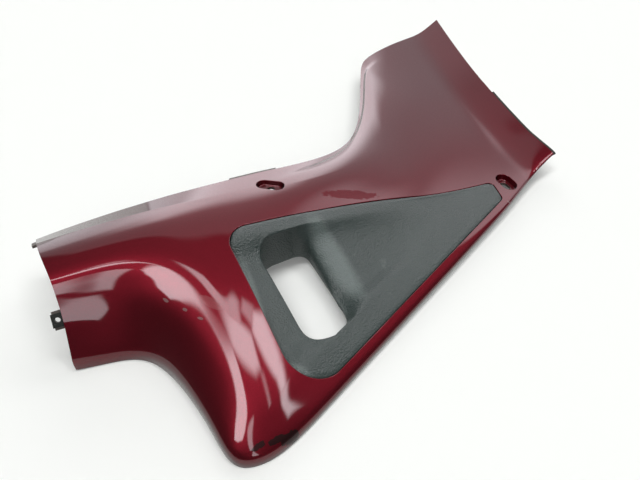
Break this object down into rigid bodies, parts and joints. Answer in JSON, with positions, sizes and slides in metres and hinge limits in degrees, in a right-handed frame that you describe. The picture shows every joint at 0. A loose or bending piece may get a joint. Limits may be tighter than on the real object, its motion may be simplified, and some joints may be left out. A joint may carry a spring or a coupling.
{
  "type": "motorcycle side cover",
  "caption": "Moulded motorcycle side cover with a half-round tunnel, a curved arm and a black grained hand-grip insert with a finger opening.",
  "frame": {"origin": "on the floor under the middle of the overall bounding box, the cover lying outer face up", "axes": "+X along the tunnel towards the arm, +Y towards the seat side, +Z outward, away from the motorcycle"},
  "size_m": [0.5336, 0.4142, 0.0589],
  "materials": {
    "painted_cover": "dark candy red paint under clear coat on a moulded plastic shell",
    "grip_insert": "black grained moulding",
    "clip_nut": "black phosphated spring steel",
    "edge_seal": "black cellular rubber",
    "foam_pad": "pale grey foam",
    "screws": "zinc plated steel"
  },
  "bodies": {
    "root": {"painted_cover": "painted_cover", "grip_insert": "grip_insert", "clip_nut": "clip_nut", "edge_seal": "edge_seal", "foam_pad": "foam_pad", "insert_screw_1": "screws", "insert_screw_2": "screws", "insert_screw_3": "screws", "insert_screw_4": "screws", "insert_screw_5": "screws"}
  },
  "joints": []
}
